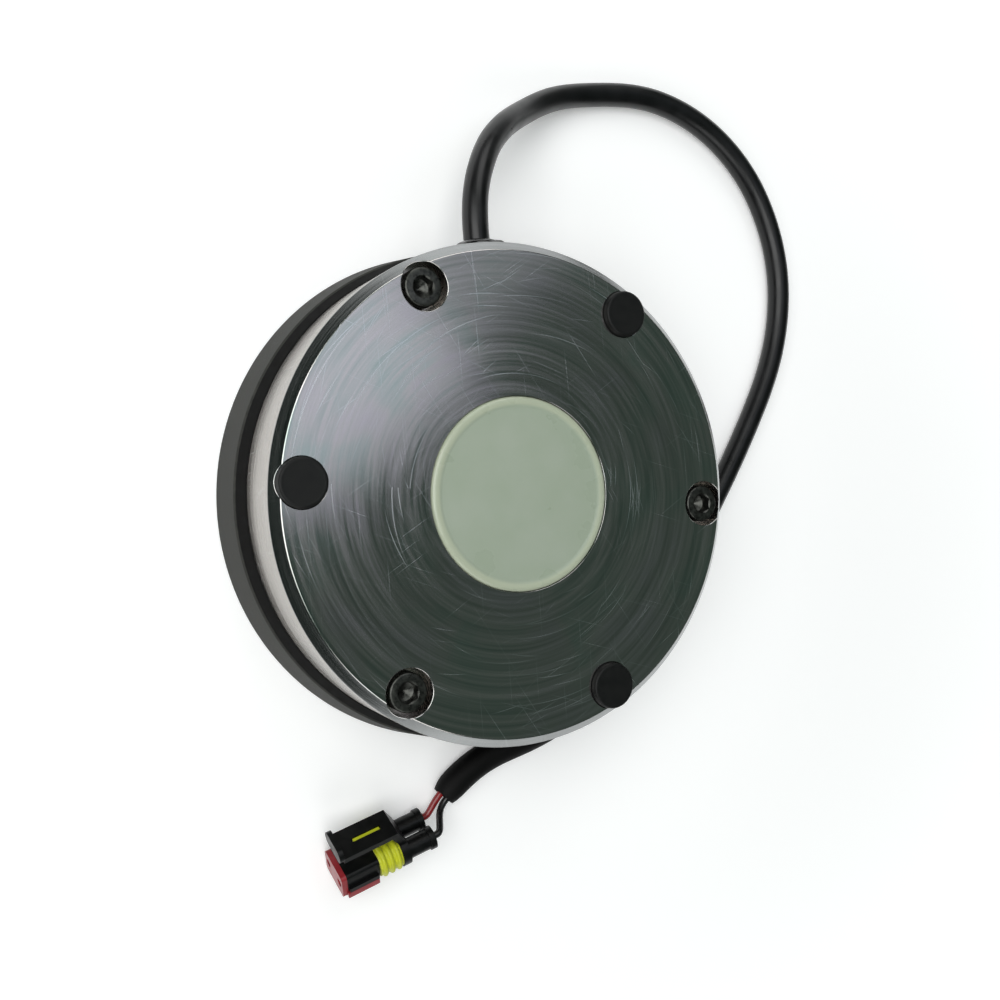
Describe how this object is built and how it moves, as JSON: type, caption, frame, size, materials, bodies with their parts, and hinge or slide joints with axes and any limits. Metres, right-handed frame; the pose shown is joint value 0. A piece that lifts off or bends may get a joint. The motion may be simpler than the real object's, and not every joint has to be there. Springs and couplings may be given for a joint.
{
  "type": "electromagnetic brake",
  "caption": "Spring-applied electromagnetic disc brake: round steel magnet housing on a cast flange, splined rotor and hub inside, lead with a sealed plug",
  "frame": {"origin": "middle of the flange's mounting face, on the shaft axis", "axes": "+Z along the shaft axis from the mounting face to the housing's outer face; +X through one assembly screw; the lead leaves near +Y"},
  "size_m": [0.1873, 0.2404, 0.0423],
  "materials": {
    "polished_steel": "turned and polished zinc-bright steel, fine concentric marks and scratches",
    "black_steel": "black oxide",
    "black_plug": "matte, softly rounded edge",
    "pale_green_plastic": "pale green translucent, soft gloss",
    "black_rubber": "matte black rubber, slightly brown",
    "grey_casting": "dark grey cast surface, fine mottled",
    "grommet_rubber": "matte",
    "black_sealant": "glossy cured sealant",
    "cable_jacket": "satin black jacket",
    "shrink_sleeve": "satin black",
    "red_insulation": "smooth",
    "black_insulation": "smooth",
    "connector_plastic": "fine moulded texture",
    "seal_rubber": "yellow-green silicone, soft sheen",
    "red_plastic": "moulded red plastic",
    "wire_seal_rubber": "silicone",
    "brass": "tin and brass",
    "bobbin_plastic": "natural",
    "enamelled_wire": "enamelled copper wire",
    "potting_resin": "cast resin",
    "spring_steel": "drawn wire",
    "ground_steel": "ground",
    "sleeve_steel": "turned",
    "carrier_steel": "milled",
    "friction_lining": "pressed friction material with fibres",
    "hub_steel": "machined"
  },
  "bodies": {
    "root": {"flange_plate": "grey_casting", "magnet_housing": "polished_steel", "assembly_screws": "black_steel", "hole_plugs": "black_plug", "centre_cap": "pale_green_plastic", "dust_ring": "black_rubber", "cable_grommet": "grommet_rubber", "sealant_bead": "black_sealant", "cable": "cable_jacket", "heat_shrink": "shrink_sleeve", "red_wire": "red_insulation", "black_wire": "black_insulation", "connector_housing": "connector_plastic", "interface_seal": "seal_rubber", "wire_seals": "wire_seal_rubber", "terminals": "brass", "coil_bobbin": "bobbin_plastic", "coil_winding": "enamelled_wire", "potting_ring": "potting_resin", "brake_springs": "spring_steel", "spacer_sleeves": "sleeve_steel"},
    "armature": {"armature_plate": "ground_steel"},
    "hub": {"spline_hub": "hub_steel"},
    "rotor": {"rotor_carrier": "carrier_steel", "upper_lining": "friction_lining", "lower_lining": "friction_lining"},
    "lock": {"secondary_lock": "red_plastic"}
  },
  "joints": [
    {"name": "armature_pull", "type": "slide", "parent": "root", "child": "armature", "axis": [0, 0, 1], "range_m": [0, 0.0004], "stiffness_N_per_m": 100000, "springref_m": -0.0001, "deforming": ["brake_springs"]},
    {"name": "hub_spin", "type": "hinge", "parent": "root", "child": "hub", "pos_m": [0, 0, 0.0105], "axis": [0, 0, 1], "continuous": true},
    {"name": "rotor_float", "type": "slide", "parent": "hub", "child": "rotor", "axis": [0, 0, 1], "range_m": [0, 0.0002]},
    {"name": "lock_slide", "type": "slide", "parent": "root", "child": "lock", "axis": [-0.9397, -0.342, 0], "range_m": [0, 0.002]}
  ],
  "couplings": [
    {"joint": "rotor_float", "follows": "armature_pull", "ratio": 0.5}
  ]
}
